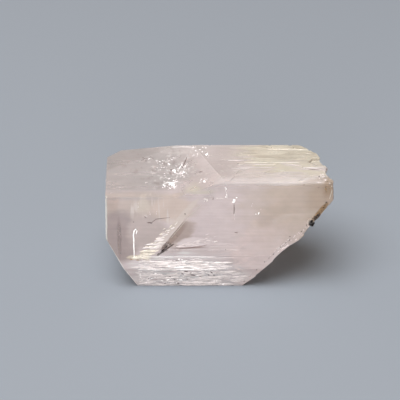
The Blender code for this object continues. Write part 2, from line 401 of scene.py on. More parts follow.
def mask_group(
    name: str,
    vectors: tuple[str, ...],
    numbers: tuple[str, ...],
    rule: Callable[[Nodes, bpy.types.NodeOutputs], bpy.types.NodeSocket],
) -> bpy.types.NodeTree:
    """A node group that puts out one mask, built when it is first asked for.

    Args:
        name: the group's name.
        vectors: the names of its inputs that are places, sizes or turns.
        numbers: the names of its other inputs.
        rule: builds the mask from the group's inputs.

    Returns:
        The group.
    """
    made = bpy.data.node_groups.get(name)
    if made is not None:
        return made
    group = bpy.data.node_groups.new(name, "ShaderNodeTree")
    for kind, sockets in (("NodeSocketVector", vectors), ("NodeSocketFloat", numbers)):
        for socket in sockets:
            group.interface.new_socket(socket, in_out="INPUT", socket_type=kind)
    group.interface.new_socket("Mask", in_out="OUTPUT", socket_type="NodeSocketFloat")
    nodes = Nodes(group)
    given = nodes.add("NodeGroupInput").outputs
    nodes.feed(nodes.add("NodeGroupOutput"), "Mask", rule(nodes, given))
    return group


def patch_rule(nodes: Nodes, given: bpy.types.NodeOutputs) -> bpy.types.NodeSocket:
    """Finds how deep a point lies in one soft, ragged patch.

    Args:
        nodes: the group's tree.
        given: the group's inputs.

    Returns:
        The mask's socket.
    """
    inside = nodes.add("ShaderNodeMapping", vector_type="TEXTURE")
    nodes.feed(inside, "Vector", given["Place"])
    nodes.feed(inside, "Location", given["Centre"])
    nodes.feed(inside, "Rotation", given["Turn"])
    nodes.feed(inside, "Scale", given["Half Size"])
    length = nodes.add("ShaderNodeVectorMath", operation="LENGTH")
    nodes.feed(length, 0, inside.outputs[0])
    sides = nodes.add("ShaderNodeVectorMath", operation="ABSOLUTE")
    nodes.feed(sides, 0, inside.outputs[0])
    split = nodes.add("ShaderNodeSeparateXYZ")
    nodes.feed(split, 0, sides.outputs[0])
    most = nodes.math("MAXIMUM", split.outputs[0], split.outputs[1])
    most = nodes.math("MAXIMUM", most, split.outputs[2])
    round_part = nodes.math("SUBTRACT", 1.0, given["Square"])
    reach = nodes.math("MULTIPLY", length.outputs["Value"], round_part)
    reach = nodes.math("MULTIPLY_ADD", most, given["Square"], reach)
    rim = nodes.noise(given["Place"], per_metre(RIM_STRETCH), RIM_DETAIL)
    rim = nodes.math("SUBTRACT", rim, NOISE_MEAN)
    shaken = nodes.math("MULTIPLY_ADD", rim, given["Ragged"], reach)
    depth = nodes.math("SUBTRACT", 1.0, shaken)
    low = nodes.math("MULTIPLY", given["Soft"], -0.5)
    high = nodes.math("MULTIPLY", given["Soft"], 0.5)
    return nodes.ramp(depth, low, high)


def grain_rule(nodes: Nodes, given: bpy.types.NodeOutputs) -> bpy.types.NodeSocket:
    """Finds where streaks or specks are.

    Args:
        nodes: the group's tree.
        given: the group's inputs.

    Returns:
        The mask's socket.
    """
    moved = nodes.add("ShaderNodeVectorMath", operation="ADD")
    nodes.feed(moved, 0, given["Place"])
    nodes.feed(moved, 1, given["Shift"])
    grain = nodes.noise(moved.outputs[0], given["Scale"])
    return nodes.ramp(grain, given["Low"], given["High"])


def grain_mask(
    nodes: Nodes, place: bpy.types.NodeSocket, grain: Grain
) -> bpy.types.NodeSocket:
    """Where the streaks or specks of a surface are.

    Args:
        nodes: the material's tree.
        place: the coordinates in metres.
        grain: the streaks.

    Returns:
        A mask's socket.
    """
    group = mask_group(GRAIN_GROUP, ("Place", "Shift", "Scale"), ("Low", "High"), grain_rule)
    return nodes.group_mask(group, {
        "Place": place,
        "Shift": (grain.shift, grain.shift, grain.shift),
        "Scale": per_metre(grain.stretch),
        "Low": grain.low,
        "High": grain.high,
    })


def patch_mask(
    nodes: Nodes, place: bpy.types.NodeSocket, box: CrystalFrame, patch: Patch
) -> bpy.types.NodeSocket:
    """Where one patch is.

    Args:
        nodes: the material's tree.
        place: the coordinates in metres.
        box: the crystal's box.
        patch: the patch.

    Returns:
        A mask's socket.
    """
    vectors = ("Place", "Centre", "Turn", "Half Size")
    group = mask_group(PATCH_GROUP, vectors, ("Ragged", "Soft", "Square"), patch_rule)
    mask = nodes.group_mask(group, {
        "Place": place,
        "Centre": tuple(box.at(patch.centre)),
        "Turn": tuple(math.radians(turn) for turn in patch.turn),
        "Half Size": tuple(half * MM for half in patch.half),
        "Ragged": RIM_REACH * patch.ragged,
        "Soft": patch.soft,
        "Square": patch.square,
    })
    mask = nodes.math("MULTIPLY", mask, patch.share)
    if patch.grain is not None:
        mask = nodes.math("MULTIPLY", mask, grain_mask(nodes, place, patch.grain))
    return mask


@dataclass(frozen=True)
class DanburiteFinish:
    """Clear pale pink crystal, milky in parts, with tan and brown stains, and with painted shade and
    painted highlights in places.

    A stretch is a noise's lumps to the millimetre, and a depth is how much it changes.
    """

    box: CrystalFrame
    name: str = "danburite"
    pink: Colour = (0.80, 0.705, 0.705)
    roughness: float = 0.1
    break_roughness: float = 0.22
    break_colour: Colour = (0.86, 0.79, 0.74)
    clearness: float = 0.6
    ior: float = 1.633
    tint: Colour = (0.90, 0.72, 0.62)
    tint_density: float = 30.0
    relief: float = 0.012 * MM
    relief_stretch: Place = (0.08, 3.2, 3.2)
    relief_detail: float = 4.0
    rough_stretch: Place = (0.1, 0.8, 0.8)
    streak_stretch: Place = (0.06, 2.2, 2.2)
    streak_depth: float = 0.22
    cloud_stretch: Place = (0.5, 0.6, 0.6)
    cloud_detail: float = 4.0
    cloud_depth: float = 0.24
    patches: tuple[Patch, ...] = ()
    dull: tuple[Patch, ...] = ()
    dull_roughness: float = 0.55

    def material(self) -> bpy.types.Material:
        """Builds the material.

        Returns:
            The material.
        """
        made = bpy.data.materials.new(self.name)
        made.use_nodes = True
        nodes = Nodes(made.node_tree)
        shader = made.node_tree.nodes["Principled BSDF"]
        shader.inputs["IOR"].default_value = self.ior
        shader.inputs["Transmission Weight"].default_value = self.clearness
        place = nodes.add("ShaderNodeTexCoord").outputs["Object"]
        broken = nodes.add("ShaderNodeAttribute", attribute_name=BROKEN).outputs["Fac"]
        nodes.feed(shader, "Base Color", self.colour(nodes, place, broken))
        rough = nodes.noise(place, per_metre(self.rough_stretch))
        rough = nodes.math("MULTIPLY", rough, self.roughness / NOISE_MEAN)
        extra = self.break_roughness - self.roughness
        rough = nodes.math("MULTIPLY_ADD", broken, extra, rough)
        for patch in self.dull:
            mask = patch_mask(nodes, place, self.box, patch)
            rough = nodes.math("MULTIPLY_ADD", mask, self.dull_roughness, rough)
        nodes.feed(shader, "Roughness", rough)
        height = nodes.noise(place, per_metre(self.relief_stretch), self.relief_detail)
        bump = nodes.add("ShaderNodeBump")
        nodes.feed(bump, "Height", height)
        nodes.feed(bump, "Distance", self.relief)
        nodes.feed(shader, "Normal", bump.outputs[0])
        volume = nodes.add("ShaderNodeVolumeAbsorption")
        nodes.feed(volume, "Color", (*self.tint, 1.0))
        nodes.feed(volume, "Density", self.tint_density)
        output = made.node_tree.nodes["Material Output"]
        made.node_tree.links.new(volume.outputs[0], output.inputs["Volume"])
        return made

    def colour(
        self, nodes: Nodes, place: bpy.types.NodeSocket, broken: bpy.types.NodeSocket
    ) -> bpy.types.NodeSocket:
        """The colour over the surface: pink, its patches, then streaks and clouds.

        Args:
            nodes: the material's tree.
            place: the coordinates in metres.
            broken: 1 on the broken end.

        Returns:
            The colour's socket.
        """
        colour: object = nodes.mix(broken, self.pink, self.break_colour)
        for patch in self.patches:
            mask = patch_mask(nodes, place, self.box, patch)
            colour = nodes.mix(mask, colour, patch.colour)
        streak = nodes.noise(place, per_metre(self.streak_stretch))
        streak = nodes.math("SUBTRACT", streak, NOISE_MEAN)
        cloud = nodes.noise(place, per_metre(self.cloud_stretch), self.cloud_detail)
        cloud = nodes.math("SUBTRACT", cloud, NOISE_MEAN)
        shade = nodes.math("MULTIPLY_ADD", streak, self.streak_depth, 1.0)
        shade = nodes.math("MULTIPLY_ADD", cloud, self.cloud_depth, shade)
        scaled = nodes.add("ShaderNodeVectorMath", operation="SCALE")
        nodes.feed(scaled, 0, colour)
        nodes.feed(scaled, "Scale", shade)
        return scaled.outputs[0]


def front_patch(
    centre: Pair, half: Pair, colour: Colour, lean: float = 0.0, **others: float | Grain
) -> Patch:
    """A patch on the front face.

    Args:
        centre: its middle along x and z.
        half: half its size along x and z.
        colour: its colour.
        lean: how far it is turned about y, in degrees.
        others: its other values by name.

    Returns:
        The patch.
    """
    middle = (centre[0], FRONT_DEPTH, centre[1])
    size = (half[0], FRONT_REACH, half[1])
    return Patch(middle, size, colour, turn=(0.0, lean, 0.0), **others)


WHITE_STREAKS = Grain((0.14, 2.4, 3.0), 0.45, 0.56)
DARK_MARKS = Grain((0.55, 2.4, 2.6), 0.60, 0.68, 0.4)
CREAM_STREAKS = Grain((0.16, 1.1, 2.0), 0.46, 0.56, 0.9)
SPECKLE = Grain((1.5, 1.5, 1.5), 0.54, 0.66, 0.2)
CURTAIN = Grain((1.8, 0.5, 0.25), 0.50, 0.62, 0.7)
WISPS = Grain((0.35, 1.2, 2.2), 0.50, 0.60, 1.3)
SHADE_SPECKS = Grain((1.1, 0.8, 1.1), 0.57, 0.66, 1.9)
EDGE_STRETCHES = Grain((0.35, 0.2, 0.2), 0.30, 0.42, 0.3)

PATCHES = (
    # The front turns tan towards the broken end
    Patch((31.5, 1.0, 16.0), (9.5, 3.0, 6.8), (0.66, 0.57, 0.50), soft=1.2),
    Patch((34.5, 1.5, 16.0), (3.0, 3.0, 4.5), (0.56, 0.46, 0.375), soft=0.8),
    # The top turns from milky pink to pale yellow
    Patch((20.0, 8.0, 19.1), (20.0, 8.5, 0.9), (0.82, 0.76, 0.74), soft=0.4),
    Patch((29.5, 11.0, 19.1), (8.5, 3.4, 1.2), (0.66, 0.61, 0.505), soft=0.7),
    Patch((28.0, 9.0, 19.1), (9.5, 5.5, 1.0), (0.82, 0.775, 0.655), soft=0.6, grain=CREAM_STREAKS),
    Patch((15.2, 6.0, 18.1), (4.5, 8.0, 1.5), (0.715, 0.635, 0.62), soft=0.9, ragged=0.6),
    Patch((17.6, 7.0, 19.1), (4.0, 8.5, 1.0), (0.73, 0.655, 0.65), soft=1.3, share=0.8),
    # The shelf at the grown end is clear and grey, with specks of light and shade farther in
    Patch((3.0, 7.0, 18.0), (10.5, 9.0, 1.9), (0.565, 0.528, 0.525), soft=0.6, ragged=0.2),
    Patch((10.5, 8.0, 18.0), (4.2, 6.5, 2.0), (0.98, 0.95, 0.94), soft=0.7, share=0.55,
          grain=SPECKLE),
    Patch((8.0, 9.0, 18.0), (5.0, 5.5, 2.0), (0.40, 0.34, 0.33), soft=0.7, share=0.6,
          grain=SHADE_SPECKS),
    # Below the shelf, a tan band with pale curtains
    front_patch((5.5, 14.4), (8.5, 2.3), (0.70, 0.605, 0.55), soft=0.5),
    Patch((5.5, 0.9, 16.4), (8.0, 1.5, 0.5), (0.66, 0.59, 0.56), soft=0.9, ragged=0.5),
    front_patch((10.5, 14.5), (3.2, 2.2), (0.81, 0.685, 0.61), soft=0.6),
    front_patch((7.5, 14.0), (4.0, 2.6), (0.86, 0.79, 0.73), soft=0.6, grain=CURTAIN),
    front_patch((6.2, 14.9), (1.0, 1.7), (0.84, 0.76, 0.66), soft=0.5, share=0.8),
    Patch((15.2, 2.5, 17.4), (2.2, 2.0, 0.5), (0.77, 0.71, 0.62), turn=(0.0, -4.0, 0.0), soft=0.8),
    # The dark window at the grown end: painted shade, for the dark floor that the grown end's inner faces
    # throw back
    front_patch((2.2, 9.6), (3.2, 4.6), (0.485, 0.415, 0.405), soft=0.35, ragged=0.15),
    front_patch((6.8, 10.4), (3.0, 3.2), (0.66, 0.575, 0.55), soft=0.5),
    front_patch((2.3, 9.4), (0.35, 3.4), (0.38, 0.32, 0.31), soft=0.6, ragged=0.1),
    # Wisps in the middle
    front_patch((16.5, 9.0), (5.0, 2.0), (0.90, 0.80, 0.78), soft=0.6, share=0.5, grain=WISPS),
    Patch((18.0, 0.9, 15.5), (3.5, 3.0, 3.0), (0.86, 0.76, 0.75), soft=0.6, share=0.5,
          grain=WISPS),
    # Right of the fracture, a brown clear zone with a straight edge, which is painted shade behind the
    # fracture and darkest along that edge, and a paler lens
    front_patch((12.2, 9.9), (2.6, 1.3), (0.56, 0.46, 0.42), lean=FRACTURE_LEAN, soft=0.7,
                ragged=0.4, square=0.6),
    front_patch((11.1, 9.85), (2.4, 0.55), (0.44, 0.34, 0.29), lean=FRACTURE_LEAN, soft=0.6,
                ragged=0.3, square=0.4),
    front_patch((13.8, 8.6), (3.0, 1.0), (0.95, 0.85, 0.85), lean=-9.0, soft=0.4, ragged=0.5),
    Patch((13.6, 0.4, 7.75), (2.5, 3.0, 0.14), (0.46, 0.36, 0.34), turn=(0.0, -3.0, 0.0),
          soft=0.9),
    # Painted shadow in the fracture's open foot
    front_patch((9.4, 7.95), (1.2, 0.4), (0.24, 0.18, 0.16), lean=FRACTURE_LEAN, soft=0.7,
                ragged=0.8),
    # Left of it, cream steps with a thin dark line under them, and a pale band above; the steps' cream is
    # partly the crack's own colour and partly painted light that the crack throws back, and the dark line
    # is painted shade under the steps' edge
    front_patch((5.4, 6.0), (1.9, 0.42), (0.93, 0.84, 0.68), soft=0.3, square=0.4),
    front_patch((6.7, 6.9), (1.25, 0.6), (0.93, 0.85, 0.72), lean=-12.0, soft=0.3, square=0.6),
    front_patch((7.9, 7.9), (1.0, 0.62), (0.92, 0.83, 0.75), lean=-20.0, soft=0.3, square=0.6),
    front_patch((8.9, 9.2), (1.3, 0.75), (0.89, 0.79, 0.74), lean=-50.0, soft=0.4, square=0.5),
    front_patch((9.75, 9.8), (4.2, 0.52), (0.93, 0.83, 0.78), lean=FRACTURE_LEAN, soft=0.22,
                ragged=0.08, square=0.6),
    front_patch((12.2, 13.2), (3.6, 0.5), (0.84, 0.75, 0.68), lean=-51.0, soft=0.6),
    # Painted shade under the steps' lower edge
    front_patch((5.8, 5.75), (2.3, 0.14), (0.46, 0.34, 0.27), soft=0.8),
    # The white foot, streaked along the growth lines, with dark marks; its white is partly the streaks' own
    # colour and partly painted sheen for light that the foot bevel throws back
    front_patch((12.5, 3.6), (9.0, 3.0), (0.93, 0.86, 0.87), soft=0.6),
    Patch((12.5, 1.0, 1.6), (11.0, 3.0, 2.3), (1.0, 0.92, 0.92), soft=0.3, share=0.9),
    Patch((11.5, 0.6, 3.0), (7.6, 3.0, 3.6), (1.0, 0.98, 0.98), soft=0.4, grain=WHITE_STREAKS),
    Patch((12.0, 0.6, 3.0), (7.0, 3.0, 3.2), (0.38, 0.31, 0.30), soft=0.4, share=0.6,
          grain=DARK_MARKS),
    # The pale rims of the grown end
    Patch((0.27, 0.65, 12.7), (0.22, 0.30, 3.8), (0.84, 0.86, 0.81), turn=(-5.0, 1.5, 0.0),
          soft=0.5, square=1.0),
    Patch((1.08, 0.15, 7.2), (2.05, 0.6, 0.2), (0.88, 0.89, 0.84), turn=(0.0, 62.8, 0.0),
          soft=0.5, ragged=0.1, square=1.0),
    Patch((3.3, 0.2, 2.7), (3.0, 0.6, 0.2), (1.0, 0.98, 0.96), turn=(0.0, 64.0, 0.0),
          soft=0.5, ragged=0.1, square=1.0),
    # A brown stain inside the right corner
    Patch((34.7, 1.3, 17.9), (0.8, 1.6, 1.5), (0.42, 0.31, 0.21), soft=1.1, share=0.8),
    # The dark lump on the broken edge and the stain above it
    Patch((32.4, 0.7, 12.0), (0.56, 1.2, 0.6), (0.015, 0.010, 0.008), soft=0.4, ragged=0.3),
    Patch((33.75, 0.9, 14.1), (2.3, 1.2, 0.42), (0.34, 0.22, 0.115), turn=(0.0, -56.0, 0.0),
          soft=0.6, ragged=0.6),
    Patch((33.25, 0.9, 13.1), (0.8, 1.2, 0.42), (0.06, 0.038, 0.025), turn=(0.0, -56.0, 0.0),
          soft=0.5, ragged=0.5),
)

DULL_PATCHES = (
    # The top, the shelf and the back
    Patch((27.0, 7.0, 19.6), (11.5, 9.0, 0.9), soft=0.6, share=0.42, ragged=0.0, square=1.0),
    Patch((6.0, 7.0, 18.6), (11.5, 9.0, 1.8), soft=0.3, share=0.35, ragged=0.0, square=1.0),
    Patch((18.0, 15.0, 9.0), (24.0, 4.0, 13.0), soft=0.5, share=0.3, ragged=0.0),
    # The front edge of the top, in stretches
    Patch((27.0, 1.7, 19.0), (9.5, 0.9, 0.5), soft=0.3, square=1.0, grain=EDGE_STRETCHES),
    # The dark lump
    Patch((32.4, 0.7, 12.0), (0.8, 1.2, 0.8), soft=0.3),
)


def piece(name: str, bm: bmesh.types.BMesh, material: bpy.types.Material) -> bpy.types.Object:
    """Makes a piece of the crystal from a mesh.

    Args:
        name: the piece's name.
        bm: its mesh, which is freed.
        material: its finish.

    Returns:
        The piece, riding with the crystal.
    """
    mesh = bpy.data.meshes.new(name)
    bm.to_mesh(mesh)
    bm.free()
    mesh.materials.append(material)
    made = bpy.data.objects.new(name, mesh)
    bpy.context.scene.collection.objects.link(made)
    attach(made, "root")
    return made


class Tone(Enum):
    """The colours of flaws: painted light that a crack throws back, dirt, and painted shade along cracks
    and edges.
    """

    WHITE = (0.98, 0.96, 0.95)
    SHEEN = (0.80, 0.75, 0.755)
    VEIL = (0.66, 0.605, 0.60)
    PALE = (0.60, 0.545, 0.535)
    MILK = (0.41, 0.38, 0.335)
    CREAM = (0.80, 0.735, 0.63)
    IVORY = (0.57, 0.515, 0.44)
    GREY = (0.17, 0.13, 0.125)
    BROWN = (0.24, 0.15, 0.08)
    BLUSH = (0.50, 0.435, 0.43)
    DUSK = (0.10, 0.08, 0.082)
    BLACK = (0.008, 0.006, 0.005)


DULL_TONES = (Tone.GREY, Tone.BROWN, Tone.DUSK, Tone.BLACK)


@dataclass(frozen=True)
class FlawFinish:
    """The surface of a crack, a flake or a crumb."""

    tone: Tone
    roughness: float = 0.16
    dull_roughness: float = 0.7
    dull_shine: float = 0.06
    dimming: float = 0.82
    grain: Grain = Grain((1.5, 1.5, 1.5), 0.35, 0.55)
    grain_roughness: float = 0.1

    def material(self) -> bpy.types.Material:
        """Builds the material.

        Returns:
            The material.
        """
        made = bpy.data.materials.new(f"flaw {self.tone.name.lower()}")
        made.use_nodes = True
        nodes = Nodes(made.node_tree)
        shader = made.node_tree.nodes["Principled BSDF"]
        place = nodes.add("ShaderNodeTexCoord").outputs["Object"]
        grain = grain_mask(nodes, place, self.grain)
        dim = tuple(self.dimming * channel for channel in self.tone.value)
        nodes.feed(shader, "Base Color", nodes.mix(grain, dim, self.tone.value))
        dull = self.tone in DULL_TONES
        rough: object = self.dull_roughness if dull else self.roughness
        rough = nodes.math("MULTIPLY_ADD", grain, self.grain_roughness, rough)
        nodes.feed(shader, "Roughness", rough)
        if dull:
            shader.inputs["Specular IOR Level"].default_value = self.dull_shine
        return made


@dataclass(frozen=True)
class Flake:
    """One flat flake: its place in the photo, its length and width in pixels, and its turn."""

    across: float
    down: float
    length: float = 2.0
    width: float = 1.4
    turn: float = 0.0


class Sight:
    """Finds where a place in the photo meets the crystal."""

    def __init__(self, studio: Studio, crystal: bpy.types.Object) -> None:
        """Takes the crystal's faces and the camera's place.

        Args:
            studio: holds the camera's numbers.
            crystal: the crystal's piece.
        """
        mesh = crystal.data
        places = [vert.co.copy() for vert in mesh.vertices]
        self.tree = BVHTree.FromPolygons(places, [tuple(face.vertices) for face in mesh.polygons])
        self.away = studio.away
        self.up = studio.up
        self.eye = studio.eye
        self.focal = studio.lens_share * PHOTO_SIDE

    def meet(self, across: float, down: float) -> tuple[Vector, Vector] | None:
        """The place on the crystal behind a place in the photo.

        Args:
            across: pixels from the photo's left side.
            down: pixels from its top.

        Returns:
            The place and the way that its face points, or None beside the crystal.
        """
        middle = PHOTO_SIDE / 2
        ray = Vector((1.0, 0.0, 0.0)) * (across - middle) / self.focal
        ray += self.up * (middle - down) / self.focal - self.away
        place, normal, _, _ = self.tree.ray_cast(self.eye, ray.normalized())
        return None if place is None else (place, normal)

    def seat(self, place: Vector) -> tuple[Vector, Vector]:
        """The place on the crystal that is nearest to another.

        Args:
            place: the place.

        Returns:
            The nearest place and the way that its face points.
        """
        near, normal, _, _ = self.tree.find_nearest(place)
        return near, normal

    def holds(self, flake: Flake) -> bool:
        """Whether both ends of a flake lie on the crystal.

        Args:
            flake: the flake.

        Returns:
            True where they do.
        """
        turn = math.radians(flake.turn)
        across, down = math.cos(turn) * flake.length / 2, -math.sin(turn) * flake.length / 2
        ends = ((flake.across + side * across, flake.down + side * down) for side in (-1, 1))
        return all(self.meet(*end) is not None for end in ends)


@dataclass(frozen=True)
class Scatter:
    """Flakes spread over a field of the photo, long and thin along the growth lines."""

    left: float
    top: float
    right: float
    bottom: float
    count: int
    lengths: Pair
    widths: Pair
    turn: float = 2.0

    def flakes(self, rng: random.Random) -> tuple[Flake, ...]:
        """Spreads the flakes.

        Args:
            rng: varies them.

        Returns:
            The flakes.
        """
        made = []
        for _ in range(self.count):
            across = rng.uniform(self.left, self.right)
            down = rng.uniform(self.top, self.bottom)
            length, width = rng.uniform(*self.lengths), rng.uniform(*self.widths)
            made.append(Flake(across, down, length, width, rng.uniform(-self.turn, self.turn)))
        return tuple(made)


@dataclass(frozen=True)
class FlakeCluster:
    """Many small flakes of one tone, each partly sunk in the face that shows it.

    Each flake is one shard or more. Thickness is a shard's thickness as a share of its
    smaller side, and out is the share of it that stands out of the face. Lean is how far it
    tips at random, and glint how far it turns to throw the lamp's light at the camera. Crowd
    is the number of shards to a square pixel. Spread is how far they lie from the middle and
    shares is their size, both as shares of the flake's. Longest is the greatest length that a
    flake counts with, in pixels. Least_width is how narrow a shard may get, as a share of the
    flake's width or of a pixel, whichever is less. Corners is how many corners a shard's
    outline has, tips is the width of its cut point as a share of its foot, and unevenness is
    how far its corners are moved, as a share of half its thickness.
    """

    name: str
    tone: Tone
    flakes: tuple[Flake, ...]
    thickness: float = 0.45
    out: float = 0.35
    lean: float = 0.25
    glint: float = 0.0
    crowd: float = 0.55
    shares: Pair = (0.25, 0.6)
    longest: float = 9.0
    spread: float = 0.4
    least_width: float = 0.8
    corners: tuple[int, int] = (4, 6)
    tips: Pair = (0.2, 0.6)
    unevenness: float = 0.3

    def build(self, sight: Sight, rng: random.Random) -> bpy.types.Object:
        """Makes the cluster.

        Args:
            sight: finds the places on the crystal.
            rng: varies the flakes.

        Returns:
            The cluster's object.
        """
        bm = bmesh.new()
        for flake in self.flakes:
            met = sight.meet(flake.across, flake.down)
            if met is not None and sight.holds(flake):
                self.add_flake(bm, flake, met, sight, rng)
        return piece(self.name, bm, FlawFinish(self.tone).material())

    def add_flake(
        self,
        bm: bmesh.types.BMesh,
        flake: Flake,
        met: tuple[Vector, Vector],
        sight: Sight,
        rng: random.Random,
    ) -> None:
        """Adds one flake, as one shard or several that lie close together.

        Args:
            bm: the cluster's mesh.
            flake: the flake's sizes.
            met: the place on the crystal and the way its face points.
            sight: finds the places on the crystal.
            rng: varies it.
        """
        count = max(1, round(flake.length * flake.width * self.crowd))
        radians = math.radians(flake.turn)
        along = Vector((math.cos(radians), 0.0, math.sin(radians)))
        place, facing = met
        across = facing.cross(along).normalized()
        for _ in range(count):
            apart = 0.0 if count == 1 else 1.0
            far = rng.uniform(-self.spread, self.spread) * flake.length * apart
            aside = rng.uniform(-self.spread, self.spread) * flake.width * apart
            middle = place + (along * far + across * aside) * PIXEL
            shrink = 1.0 if count == 1 else rng.uniform(*self.shares)
            self.add_shard(bm, sight.seat(middle), along, flake, shrink, rng)

    def add_shard(
        self,
        bm: bmesh.types.BMesh,
        met: tuple[Vector, Vector],
        along: Vector,
        flake: Flake,
        shrink: float,
        rng: random.Random,
    ) -> None:
        """Adds one shard: a low, uneven pyramid with its point cut off, never below the floor.

        Args:
            bm: the cluster's mesh.
            met: the place on the crystal and the way its face points.
            along: the way the flake is longest.
            flake: the flake's sizes.
            shrink: the shard's share of them.
            rng: varies it.
        """
        place, facing = met
        shake = Vector([rng.uniform(-1.0, 1.0) for _ in range(3)]) * self.lean
        upright = (facing.lerp(GLINT_FACING, self.glint * rng.random()) + shake).normalized()
        level = (along - upright * along.dot(upright)).normalized()
        turned = Matrix((level, upright.cross(level), upright)).transposed().to_4x4()
        long = shrink * min(flake.length, self.longest) / 2 * PIXEL
        least = self.least_width * min(flake.width, 1.0)
        wide = max(shrink * flake.width, least) / 2 * PIXEL
        thick = min(long, wide) * self.thickness
        turned.translation = place - facing * thick * (1.0 - 2 * self.out)
        spin = Matrix.Rotation(rng.uniform(0.0, math.tau), 4, "Z")
        size = Matrix.Diagonal((long, wide, thick, 1.0))
        made = bmesh.ops.create_cone(
            bm, cap_ends=True, segments=rng.randint(*self.corners), radius1=1.0,
            radius2=rng.uniform(*self.tips), depth=2.0, matrix=turned @ size @ spin,
        )["verts"]
        for vert in made:
            moved = [rng.uniform(-self.unevenness, self.unevenness) for _ in range(3)]
            vert.co += Vector(moved) * thick
            vert.co.z = max(vert.co.z, 0.0)


def tube(route: list[Vector], radius: float, sides: int = 6) -> bmesh.types.BMesh:
    """A closed tube along a route, thinner towards both ends.

    Args:
        route: the points that it follows.
        radius: its radius in the middle.
        sides: how many sides it has.

    Returns:
        The tube's mesh.
    """
    bm = bmesh.new()
    rings = []
    for index, point in enumerate(route):
        before = route[max(index - 1, 0)]
        after = route[min(index + 1, len(route) - 1)]
        turn = (after - before).to_track_quat("Z", "Y").to_matrix().to_4x4()
        share = math.sin(math.pi * (index + 1) / (len(route) + 1)) ** TAPER
        ring = bmesh.ops.create_circle(
            bm, segments=sides, radius=radius * share, matrix=Matrix.Translation(point) @ turn
        )["verts"]
        rings.append(ring)
    for low, high in zip(rings, rings[1:]):
        edges = [edge for edge in bm.edges if all(vert in low for vert in edge.verts)]
        edges += [edge for edge in bm.edges if all(vert in high for vert in edge.verts)]
        bmesh.ops.bridge_loops(bm, edges=edges)
    for ring in (rings[0], rings[-1]):
        bmesh.ops.contextual_create(bm, geom=ring)
    bmesh.ops.recalc_face_normals(bm, faces=bm.faces[:])
    return bm


@dataclass(frozen=True)
class Thread:
    """A thin bright or dark crack line that follows the crystal's face.

    Its radius is in pixels, and sunk is the share of it by which its middle lies in the face.
    """

    name: str
    tone: Tone
    route: tuple[Pair, ...]
    radius: float = 0.5
    sunk: float = 0.3

    def build(self, sight: Sight) -> bpy.types.Object:
        """Makes the line.

        Args:
            sight: finds the places on the crystal.

        Returns:
            The line's object.
        """
        met = [sight.meet(*point) for point in self.route]
        found = [pair for pair in met if pair is not None]
        radius = self.radius * PIXEL
        bm = tube([place - facing * self.sunk * radius for place, facing in found], radius)
        return piece(self.name, bm, FlawFinish(self.tone).material())


SPARKLES = (
    Flake(149, 158.5, 3.5, 2.5, 60), Flake(157, 160.5, 3, 1.4, 10), Flake(160, 161.5, 3, 1.2, -20),
    Flake(163, 160.5, 3, 1.4, 15), Flake(169, 164, 3.2, 3.0), Flake(171, 159, 2.4, 1.6),
    Flake(174, 171, 3.4, 5.0, 20), Flake(182, 165, 1.6, 3.5, 25), Flake(180, 168.5, 1.6, 4.0, 25),
    Flake(178, 171, 3, 1.4, 30), Flake(185, 166, 1.4, 3.0), Flake(186, 169.5, 1.4, 2.4),
    Flake(180, 173, 2.4, 1.6, -30), Flake(182, 176, 2.2, 2.0), Flake(184, 172, 1.8, 1.4),
    Flake(186.5, 173, 1.6, 1.4), Flake(171.5, 184, 6.5, 6.0, 15), Flake(168, 182.5, 4, 2.4, -10),
    Flake(173.5, 187, 4, 2.6, 10), Flake(165, 183, 2.6, 1.6), Flake(173, 180.5, 2.6, 2.0),
    Flake(206, 154.5, 4.4, 4.0), Flake(206, 148, 2, 1.2), Flake(203, 147.5, 1.4, 1.2),
    Flake(195, 147, 3.2, 1.4, 5), Flake(199, 149.5, 3.6, 1.2, -15), Flake(204.5, 181, 3.4, 3.8),
    Flake(225.5, 184, 1.6, 2.6), Flake(226, 188, 2.0, 4.2, 10), Flake(226, 196, 2.0, 3.0),
    Flake(233.5, 201, 4.0, 4.0), Flake(236.5, 197.5, 2.4, 1.2, 20), Flake(259.5, 213, 2.6, 2.4),
    Flake(256, 214, 1.4, 1.0),
)
FOOT_SPARKLES = (
    Flake(140, 275, 2.6, 3.0), Flake(142, 280, 3.2, 1.6), Flake(146, 283, 3.2, 1.6),
    Flake(152, 278, 2.0, 2.4), Flake(162, 281, 3.4, 2.4), Flake(167, 279.5, 5.0, 2.4),
    Flake(173, 281.5, 4.4, 2.8), Flake(181, 280, 4.0, 2.4), Flake(186, 282.5, 3.0, 1.8),
    Flake(181, 267.3, 9.0, 1.5), Flake(189, 266.6, 7.0, 1.3), Flake(192, 269.6, 10.0, 1.1),
    Flake(180, 259.6, 6.0, 1.8, -8), Flake(184, 262, 4.0, 1.6, 30), Flake(197, 275.4, 7.0, 1.4, 5),
    Flake(189, 273, 5.0, 1.4, -10), Flake(206, 269.5, 8.0, 1.0), Flake(150, 269.4, 9.0, 0.9),
    Flake(140.5, 277.5, 2.0, 4.0), Flake(148, 281.5, 2.4, 1.6), Flake(156, 273.5, 2.0, 1.2),
    Flake(171, 278.5, 3.0, 2.0), Flake(176, 283.0, 3.0, 1.2), Flake(163, 269.4, 10.0, 0.9),
    Flake(215, 281, 5.0, 1.6), Flake(222, 284, 4.0, 1.0),
)
